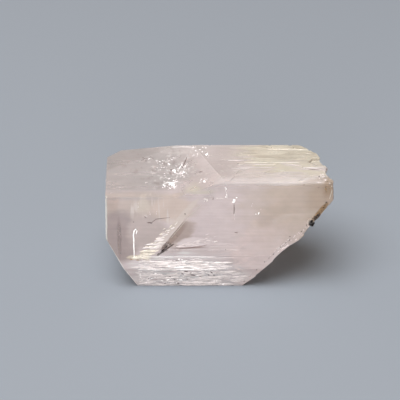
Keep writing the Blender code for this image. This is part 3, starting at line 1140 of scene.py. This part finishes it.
SOFT_DOTS = (
    Flake(146.5, 182.5, 3.6, 2.2, -35), Flake(156, 186, 3.0, 2.2), Flake(121, 187.5, 3.0, 2.4),
    Flake(111, 192.5, 2.2, 2.6), Flake(134.5, 178, 1.2, 4.0, 5), Flake(132.5, 181, 2.0, 1.6),
    Flake(165, 166.5, 1.4, 1), Flake(165, 169.5, 1.4, 1), Flake(166, 172.5, 1.4, 1),
    Flake(171, 159, 2.4, 1.6), Flake(200.5, 182, 4, 1.2, 10), Flake(203, 169.5, 4.2, 1.2, 12),
    Flake(206, 200, 5.0, 4.6), Flake(218, 198.3, 10.0, 0.9, -2), Flake(234.5, 217, 0.9, 9.0, 3),
    Flake(252, 205, 1.0, 5.0, -25), Flake(261, 209, 1.0, 4.0, 25), Flake(216, 241.5, 7.0, 1.2, 12),
    Flake(150, 214, 1.0, 6.0), Flake(156.5, 213, 1.0, 7.0), Flake(146, 216, 4.0, 2.4),
    Flake(138.3, 205, 0.9, 10.0), Flake(207, 239, 2.0, 1.8), Flake(205, 242, 1.4, 1.4),
    Flake(302.5, 234.5, 7.0, 1.6, 42), Flake(297, 239, 6.0, 1.4, 40), Flake(285, 247, 9.0, 2.0, 35),
    Flake(280, 250.5, 6.0, 1.4, 40), Flake(307.5, 227, 3.0, 2.0, 50), Flake(324, 170, 4.0, 2.0),
    Flake(322, 174.5, 5.0, 2.0, 10), Flake(326, 180, 5.0, 2.2),
    Flake(319, 183, 6.0, 1.4),
)
FOOT_FIELDS = (
    Scatter(139.0, 268.6, 216.0, 270.4, 26, (8.0, 18.0), (0.4, 0.8), 0.6),
    Scatter(176.0, 264.0, 200.0, 270.0, 24, (4.0, 14.0), (0.4, 0.8), 1.0),
    Scatter(150.0, 258.5, 205.0, 266.0, 22, (4.0, 12.0), (0.3, 0.6), 1.0),
    Scatter(180.0, 270.5, 226.0, 277.0, 30, (4.0, 13.0), (0.3, 0.7), 1.5),
    Scatter(139.0, 273.0, 190.0, 284.3, 46, (1.5, 6.0), (0.5, 1.2), 12.0),
)
# Flakes of the foot's veils and ground: partly streaks along the growth lines, partly painted sheen that
# whitens the foot
VEIL_AND_SHEEN_FIELDS = (
    Scatter(137.0, 271.0, 226.0, 285.0, 120, (2.0, 8.0), (0.6, 1.4), 7.0),
    Scatter(180.0, 271.0, 240.0, 285.0, 30, (8.0, 22.0), (0.5, 1.0), 0.6),
    Scatter(134.0, 261.5, 222.0, 270.5, 50, (4.0, 16.0), (0.5, 1.0), 1.0),
)
GROUND_SHEEN_FIELDS = (
    Scatter(139.0, 271.5, 240.0, 285.0, 110, (10.0, 30.0), (2.0, 4.0), 1.0),
    Scatter(134.0, 260.5, 224.0, 270.5, 60, (10.0, 30.0), (1.6, 3.4), 1.0),
    Scatter(131.0, 271.0, 152.0, 278.0, 16, (6.0, 13.0), (1.4, 2.6), 1.5),
)
GLITTER_FIELDS = (
    Scatter(156.0, 158.0, 178.0, 178.0, 40, (0.7, 2.0), (0.5, 1.2), 90.0),
    Scatter(174.0, 163.0, 189.0, 178.0, 44, (0.7, 2.4), (0.5, 1.0), 90.0),
    Scatter(163.0, 178.0, 178.0, 190.0, 50, (0.7, 2.4), (0.6, 1.4), 90.0),
    Scatter(192.0, 146.0, 209.0, 158.0, 24, (0.7, 2.4), (0.5, 1.2), 40.0),
    Scatter(199.0, 178.0, 208.0, 184.0, 10, (0.7, 2.2), (0.6, 1.2), 40.0),
)
TOP_FIELDS = (
    Scatter(236.0, 149.5, 312.0, 158.0, 34, (6.0, 18.0), (0.3, 0.8), 1.5),
    Scatter(230.0, 158.0, 318.0, 179.0, 40, (6.0, 22.0), (0.3, 0.7), 1.5),
    Scatter(207.0, 148.0, 240.0, 176.0, 26, (5.0, 14.0), (0.3, 0.6), 1.5),
    Scatter(193.0, 151.0, 224.0, 178.0, 24, (5.0, 12.0), (0.3, 0.6), 1.5),
)
# Plates and steps of the fracture's hackle; their pale tones are partly the crack's own and partly painted
# light that it throws back
CREAM_PLATES = (
    Flake(140.0, 258.2, 21, 3.2, 2), Flake(145.0, 255.0, 21, 3.2, 6), Flake(148.6, 251.7, 19, 3.4, 8),
)
PALE_PLATES = (
    Flake(152.4, 247.8, 19, 3.6, 8), Flake(156.8, 243.4, 17, 3.6, 12), Flake(161.4, 238.8, 14, 3.8, 16),
    Flake(166.0, 234.0, 11, 3.6, 25), Flake(170.4, 229.0, 9, 3.0, 35), Flake(174.8, 223.8, 8, 2.2, 45),
)
CREAM_STEPS = (
    Flake(138.0, 257.2, 15, 1.5, 3), Flake(133.0, 257.6, 7, 1.7, 6), Flake(145.0, 259.0, 13, 1.3, 2),
    Flake(143.5, 253.6, 9, 1.3, 10), Flake(149.0, 255.0, 9, 1.2, 8), Flake(146.0, 250.2, 9, 1.4, 10),
    Flake(152.5, 251.4, 9, 1.2, 12), Flake(149.0, 246.6, 9, 1.4, 10), Flake(155.5, 246.8, 8, 1.3, 14),
    Flake(153.6, 242.8, 8, 1.5, 14), Flake(159.6, 242.4, 7, 1.2, 25), Flake(157.4, 238.8, 7, 1.4, 20),
    Flake(163.6, 237.6, 6, 1.2, 35), Flake(161.4, 234.0, 6, 1.5, 20), Flake(166.0, 231.0, 6, 1.3, 40),
    Flake(164.4, 228.8, 5, 1.4, 25), Flake(170.5, 226.6, 6, 1.1, 45),
)
DULL_MARKS = (
    Flake(171, 170, 3.0, 3.0), Flake(200.5, 172, 5.0, 1.8, 15), Flake(143, 158, 5.0, 1.4, 20),
    Flake(146, 161, 4.0, 1.0, -10), Flake(185, 162, 1.2, 9.0, -15), Flake(213, 199, 1.2, 3.6, -20),
    Flake(234, 209, 1.0, 8.0, 3), Flake(236, 232.5, 5.0, 1.2, 4), Flake(185, 214, 2.0, 1.6),
    Flake(149, 222.6, 5.0, 1.6, 10), Flake(145, 217, 2.2, 1.4), Flake(177, 260.4, 6.0, 1.0, -6),
    Flake(173, 260.8, 3.4, 1.0), Flake(313, 169.6, 17, 0.9, 1), Flake(319, 177, 2.2, 1.2),
)
FOOT_MARKS = (
    Flake(193, 275.0, 7.0, 1.2, -8), Flake(186, 271.6, 5.0, 1.0, -4), Flake(182.6, 273.6, 3.0, 1.1, -20),
    Flake(190.4, 272.8, 3.2, 0.9, 25), Flake(211.6, 272.2, 5.0, 1.3, -38),
    Flake(208.6, 275.0, 3.4, 1.0, -55), Flake(214.0, 275.2, 2.6, 0.8, 20),
    Flake(200.4, 276.4, 3.0, 0.8, 5), Flake(165, 283.2, 1.8, 1.1),
    Flake(170, 276.5, 2.2, 1.0), Flake(156.5, 276.8, 2.0, 0.8), Flake(148.5, 278.4, 1.6, 0.9),
    Flake(161.2, 280.8, 1.5, 1.1), Flake(167.2, 281.8, 1.4, 1.1), Flake(178.0, 283.0, 2.4, 1.4),
    Flake(174.6, 279.6, 2.0, 0.8), Flake(187.4, 279.0, 2.6, 0.8, -6), Flake(223.0, 278.6, 4.0, 0.7, -3),
)
LENS_PLATES = (
    Flake(184, 245.4, 16, 3.0, 4), Flake(191, 243.6, 18, 4.0, 6), Flake(199, 241.6, 16, 4.4, 5),
    Flake(204, 239.6, 12, 3.6, 2), Flake(197, 245.0, 14, 2.0, 3), Flake(211, 236.6, 10, 2.2, 8),
    Flake(207, 234.4, 8, 1.6, 20), Flake(214, 241.8, 10, 1.4, 4),
)
EDGE_PLATES = (
    Flake(268, 149.2, 16, 2.2, 0), Flake(284, 149.0, 18, 2.4, 0), Flake(299, 149.6, 14, 2.4, -2),
    Flake(308, 153.2, 8, 3.0, -8), Flake(298, 153.6, 9, 1.8, 0), Flake(314, 157.4, 7, 2.4, -20),
    Flake(277, 182.0, 13, 1.3, 2), Flake(254, 158.0, 12, 1.4, 0), Flake(262, 165.0, 12, 1.4, 0),
    Flake(311, 175.6, 9, 1.6, 0), Flake(300, 181.6, 14, 1.2, 0),
)
# The first six flakes are black crust by the lump; the rest are painted shadow under the rough broken edge
CRUST_AND_EDGE_SHADOWS = (
    Flake(312.6, 219.2, 2.4, 1.8, -50), Flake(310.4, 225.2, 2.0, 1.4), Flake(316.6, 216.0, 2.4, 1.4, 50),
    Flake(319.4, 213.6, 1.8, 1.2, 50), Flake(323.6, 207.4, 2.0, 1.4, 45), Flake(326.0, 202.8, 1.8, 1.5),
    Flake(285.2, 243.4, 2.4, 1.3, 40), Flake(289.4, 240.2, 2.0, 1.2, 40), Flake(273.4, 254.2, 2.2, 1.1, 45),
    Flake(264.4, 262.0, 2.4, 1.1, 42), Flake(257.2, 269.4, 2.8, 1.1, 42), Flake(250.0, 276.4, 2.8, 1.1, 35),
    Flake(244.4, 281.0, 2.4, 1.1, 30), Flake(280.4, 247.2, 1.8, 1.0, 40), Flake(269.0, 258.0, 1.6, 1.0, 40),
    Flake(301.4, 231.4, 1.6, 1.1, 40), Flake(306.6, 225.0, 1.6, 1.2, 50),
)
CRUMBS = (
    Flake(320.0, 178.2, 3.4, 2.4), Flake(323.6, 176.8, 3.2, 2.6), Flake(326.0, 179.6, 3.4, 2.6),
    Flake(318.0, 181.2, 3.4, 1.6), Flake(324.6, 181.6, 3.2, 1.8), Flake(329.4, 183.2, 2.4, 2.4),
    Flake(321.6, 174.8, 2.8, 1.8), Flake(324.4, 171.8, 2.2, 2.2), Flake(316.4, 163.6, 3.6, 1.6),
    Flake(281.0, 247.0, 4.0, 1.8, 38), Flake(285.5, 243.6, 4.0, 1.6, 38), Flake(277.5, 249.8, 3.4, 1.8, 40),
    Flake(291.0, 239.8, 3.6, 1.5, 38), Flake(306.0, 227.0, 2.4, 2.2, 50), Flake(303.6, 230.4, 2.6, 1.8, 45),
    Flake(300.6, 233.8, 2.6, 1.5, 42), Flake(308.0, 221.6, 1.8, 2.6), Flake(287.6, 240.6, 5.0, 1.6, 38),
    Flake(283.0, 244.4, 5.0, 1.8, 38), Flake(278.6, 247.8, 4.4, 1.8, 40), Flake(294.6, 236.6, 4.0, 1.4, 40),
    Flake(274.6, 251.6, 3.4, 1.4, 44), Flake(298.4, 233.6, 3.4, 1.6, 42), Flake(270.8, 255.0, 2.8, 1.1, 44),
)
# Brown stains by the lump and the right corner; the flake at the fracture's foot and the two long thin ones
# under the cream steps are painted shade
STAINS_AND_SHADE_LINES = (
    Flake(316.5, 214.5, 6.0, 2.4, 52), Flake(319.5, 210.5, 5.0, 2.0, 52), Flake(322.8, 207, 4.0, 1.6, 50),
    Flake(168.5, 247.0, 5.0, 2.4, 40), Flake(326, 189, 1.8, 7.0, 5), Flake(303, 185, 4.0, 0.9),
    Flake(143, 260.0, 20.0, 0.9, 1), Flake(131, 259.4, 6.0, 1.0, 5),
)
# Dark specks, with painted shade: the flakes along the fracture's foot are its painted shadow, and the
# three by the broken edge on the second last line are painted shadows of its rough rim
DARK_SPECKS_AND_SHADE = (
    Flake(225.5, 249.5, 1.2, 1.2), Flake(290, 236.5, 1.4, 1.2), Flake(238, 163.5, 2.0, 1.3),
    Flake(267, 147.8, 2.0, 1.2), Flake(271.5, 147.7, 2.2, 1.3), Flake(293.5, 148.0, 2.4, 1.2),
    Flake(162.6, 250.4, 9.0, 2.4, 46), Flake(166, 247.4, 6.0, 2.2, 46), Flake(170, 244.4, 4.0, 1.2, 40),
    Flake(158.5, 253.4, 5.0, 1.2, 48), Flake(163, 252.6, 3.0, 1.0, 20), Flake(167, 250.4, 2.4, 1.0, 10),
    Flake(326.2, 177.2, 1.6, 1.1), Flake(322.0, 179.8, 1.5, 1.1), Flake(318.6, 187.6, 1.2, 1.0),
    Flake(319.2, 176.4, 1.4, 1.0), Flake(327.6, 181.4, 1.5, 1.0), Flake(321.0, 182.4, 1.4, 1.0),
    Flake(318.0, 215.4, 1.6, 1.2), Flake(321.6, 211.2, 1.4, 1.2), Flake(324.8, 205.4, 1.5, 1.2),
    Flake(320.2, 210.2, 1.2, 1.0), Flake(316.4, 217.4, 2.0, 1.6), Flake(326.4, 202.2, 1.6, 1.3),
    Flake(282.0, 245.8, 1.5, 1.1), Flake(286.0, 242.8, 1.7, 1.2), Flake(288.2, 241.2, 1.3, 1.1),
    Flake(146.0, 217.4, 1.8, 1.2), Flake(133.6, 222.0, 1.4, 1.2), Flake(151.4, 223.2, 3.4, 1.0, 10),
)


THREADS = (
    Thread("hook_line", Tone.WHITE,
           ((134, 258), (134.2, 252), (133.8, 246), (133.8, 240), (133.4, 235), (134.2, 231),
            (136, 229), (137, 231), (136.2, 234)), 0.75),
    Thread("fracture_edge", Tone.MILK,
           ((171, 238), (178, 230), (185, 221.5), (193, 213), (201, 205)), 0.3),
    Thread("vein", Tone.GREY,
           ((150, 223.4), (153, 221.6), (156, 219.2), (161, 218.4), (170, 217.6)), 0.35),
    Thread("arc_line", Tone.GREY,
           ((141, 161), (145, 158.2), (148, 158.8), (151, 156.8), (153.5, 159.2)), 0.35),
    Thread("dark_crack", Tone.GREY, ((186.5, 157.5), (185.5, 161), (183.6, 165), (182.5, 168)), 0.5),
    Thread("bead_crack", Tone.PALE,
           ((224.8, 183.5), (226.2, 187), (225.6, 191), (227.4, 195), (227.0, 198.5)), 0.3),
    Thread("upright_crack", Tone.GREY, ((234, 204.5), (234.2, 209), (233.8, 214)), 0.45),
    Thread("lens_line", Tone.GREY,
           ((175, 247), (180, 248.2), (187, 248.3), (194, 246.8), (202, 246.2), (207, 244.9)), 0.35),
    Thread("slope_rim", Tone.PALE,
           ((106.8, 242), (110.4, 248.5), (114.2, 255), (118.0, 260.6), (122.6, 266.4),
            (128, 273.2), (133, 279.4), (136.6, 283.8)), 0.35),
    # Painted glint along the foot's upper edge
    Thread("foot_edge_glint", Tone.WHITE,
           ((138, 269.8), (152, 269.6), (166, 269.9), (180, 269.5), (194, 269.2), (208, 269.4),
            (218, 269.1)), 0.4),
    Thread("foot_glint", Tone.WHITE,
           ((174, 267.8), (180, 267.0), (187, 266.6), (193, 267.2), (198, 268.2)), 0.55),
    Thread("top_glint", Tone.SHEEN, ((172, 147.4), (182, 146.8), (191, 147.2), (199, 150.4)), 0.25),
    Thread("ledge_line", Tone.SHEEN, ((303.6, 168.2), (310, 167.8), (317.6, 168.2)), 0.35),
    Thread("left_rim", Tone.PALE, ((106.0, 199), (105.9, 212), (105.9, 225), (106.2, 239)), 0.25),
    Thread("right_rim", Tone.MILK,
           ((330.6, 183.4), (332.0, 187), (331.8, 191), (330.6, 195.4), (329.4, 199)), 0.4),
    Thread("branch_left", Tone.WHITE, ((182.4, 162), (181.4, 165), (179.6, 168.4), (177.4, 171)), 0.3),
    Thread("branch_right", Tone.SHEEN, ((185.8, 165), (184.8, 168.5), (183, 172), (182, 176)), 0.28),
    Thread("branch_foot", Tone.SHEEN, ((174.5, 172.5), (178, 174), (182, 173.4), (186, 171.6)), 0.35),
)


@dataclass(frozen=True)
class LumpCrust:
    """The dull black crust over the small lump on the broken edge."""

    box: CrystalFrame
    centre: Place = (32.45, 0.66, 12.05)
    radius: float = 0.4 * MM
    shape: Place = (0.95, 0.9, 1.1)
    unevenness: float = 0.8

    def build(self) -> bpy.types.Object:
        """Makes the crust.

        Returns:
            The crust's object.
        """
        bm = bmesh.new()
        size = Matrix.Diagonal((*self.shape, 1.0))
        matrix = Matrix.Translation(self.box.at(self.centre)) @ size
        bmesh.ops.create_icosphere(bm, subdivisions=3, radius=self.radius, matrix=matrix)
        for vert in bm.verts:
            moved = noise.noise_vector(vert.co / self.radius)
            vert.co += moved * self.unevenness * self.radius
        return piece("lump_crust", bm, FlawFinish(Tone.BLACK).material())


@dataclass(frozen=True)
class CrystalBody:
    """The crystal's own faces, from the CAD node.

    A point is on the broken end when it lies past break_start, in millimetres, and all its
    faces point along x by more than break_facing.
    """

    box: CrystalFrame
    weld: float = 0.002 * MM
    break_start: float = 20.0
    break_facing: float = 0.12

    def build(self) -> bpy.types.Object:
        """Makes the piece that stands for the CAD node.

        Returns:
            The crystal's object.
        """
        bm = bmesh.new()
        bm.from_mesh(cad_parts[NODE].data)
        bmesh.ops.remove_doubles(bm, verts=bm.verts[:], dist=self.weld)
        bm.normal_update()
        self.mark_break(bm)
        finish = DanburiteFinish(self.box, patches=PATCHES, dull=DULL_PATCHES)
        crystal = piece("crystal", bm, finish.material())
        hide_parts(NODE)
        return crystal

    def mark_break(self, bm: bmesh.types.BMesh) -> None:
        """Marks the points that lie only on faces of the broken end.

        Args:
            bm: the crystal's mesh.
        """
        layer = bm.verts.layers.float.new(BROKEN)
        start = self.box.at((self.break_start, 0.0, 0.0)).x
        for vert in bm.verts:
            lowest = min(face.normal.x for face in vert.link_faces)
            vert[layer] = float(vert.co.x > start and lowest > self.break_facing)


def scattered(fields: tuple[Scatter, ...], rng: random.Random) -> tuple[Flake, ...]:
    """Spreads the flakes of several fields, one field after another."""
    return sum((field.flakes(rng) for field in fields), ())


def flake_clusters(rng: random.Random) -> tuple[FlakeCluster, ...]:
    """Lists the clusters, in the order in which they are built.

    Args:
        rng: spreads the flakes of the fields.

    Returns:
        The clusters.
    """
    foot = scattered(FOOT_FIELDS, rng)
    glitter = scattered(GLITTER_FIELDS, rng)
    ground = scattered(GROUND_SHEEN_FIELDS, rng)
    veils = scattered(VEIL_AND_SHEEN_FIELDS, rng)
    top = scattered(TOP_FIELDS, rng)
    return (
        FlakeCluster("sparkles", Tone.WHITE, SPARKLES, out=0.6, lean=0.35, glint=1.0,
                     crowd=0.5, longest=3.6),
        FlakeCluster("glitter", Tone.SHEEN, glitter, out=0.6, lean=0.5, glint=0.6, crowd=0.0),
        FlakeCluster("foot_sparkles", Tone.WHITE, FOOT_SPARKLES, out=0.75, lean=0.25, glint=0.8),
        # Painted sheen, with the streaks' own pale colour, over the foot's ground
        FlakeCluster("foot_ground_sheen", Tone.PALE, ground, thickness=0.1, out=0.15, lean=0.04,
                     glint=0.3, crowd=0.0, longest=30.0),
        FlakeCluster("foot_streaks", Tone.SHEEN, foot, glint=0.5, lean=0.05, crowd=0.0,
                     longest=18.0),
        # Foot veils: streaks along the growth lines, partly painted sheen
        FlakeCluster("foot_veils_and_sheen", Tone.VEIL, veils, glint=0.7, lean=0.1, crowd=0.0, longest=40.0),
        FlakeCluster("top_streaks", Tone.MILK, top, lean=0.05, crowd=0.0, out=0.15, longest=22.0),
        FlakeCluster("soft_dots", Tone.PALE, SOFT_DOTS, lean=0.15),
        # Hackle plates and steps, partly painted light thrown back by the crack
        FlakeCluster("cream_plates", Tone.IVORY, CREAM_PLATES, thickness=0.25, out=0.35, lean=0.06,
                     crowd=0.14, shares=(0.45, 0.85), longest=24.0),
        FlakeCluster("pale_plates", Tone.PALE, PALE_PLATES, thickness=0.25, out=0.3, lean=0.08,
                     crowd=0.18, shares=(0.4, 0.8), longest=24.0),
        FlakeCluster("cream_steps", Tone.CREAM, CREAM_STEPS, thickness=0.4, lean=0.12, crowd=0.15,
                     shares=(0.6, 1.0), longest=12.0),
        FlakeCluster("dull_marks", Tone.GREY, DULL_MARKS, lean=0.1, out=0.55, crowd=0.0, longest=20.0),
        FlakeCluster("foot_marks", Tone.DUSK, FOOT_MARKS, thickness=0.6, out=0.95, lean=0.1,
                     crowd=0.0, longest=20.0),
        FlakeCluster("lens_plates", Tone.BLUSH, LENS_PLATES, thickness=0.12, out=0.25,
                     lean=0.04, crowd=0.08, shares=(0.5, 0.9), longest=24.0),
        FlakeCluster("edge_plates", Tone.IVORY, EDGE_PLATES, thickness=0.2, out=0.3, lean=0.06,
                     crowd=0.12, shares=(0.4, 0.8), longest=18.0),
        # Brown stains, and brown lines of painted shade
        FlakeCluster("stains", Tone.BROWN, STAINS_AND_SHADE_LINES, thickness=0.3),
        # Black crust by the lump, and painted shadow under the broken edge
        FlakeCluster("crust", Tone.BLACK, CRUST_AND_EDGE_SHADOWS, crowd=0.5, out=0.6, longest=5.0),
        FlakeCluster("crumbs", Tone.PALE, CRUMBS, thickness=0.6, crowd=0.6, shares=(0.35, 0.6)),
        # Dark specks, and painted shade at the fracture's foot and the broken edge
        FlakeCluster("dark_specks_and_shade", Tone.BLACK, DARK_SPECKS_AND_SHADE, crowd=0.0),
    )


def main() -> None:
    """Builds the crystal and its studio, and reports each piece."""
    logging.basicConfig(level=logging.INFO, format="%(message)s")
    noise.seed_set(SEED)
    rng = random.Random(SEED)
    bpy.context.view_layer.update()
    box = CrystalFrame.from_cad()
    crystal = CrystalBody(box).build()
    studio = Studio(box)
    sight = Sight(studio, crystal)
    pieces = [crystal]
    for cluster in flake_clusters(rng):
        pieces.append(cluster.build(sight, rng))
    pieces.append(LumpCrust(box).build())
    for thread in THREADS:
        pieces.append(thread.build(sight))
    for made in pieces:
        log.info("%s: %d faces", made.name, len(made.data.polygons))
    studio.build()


if __name__ == "__main__":
    main()
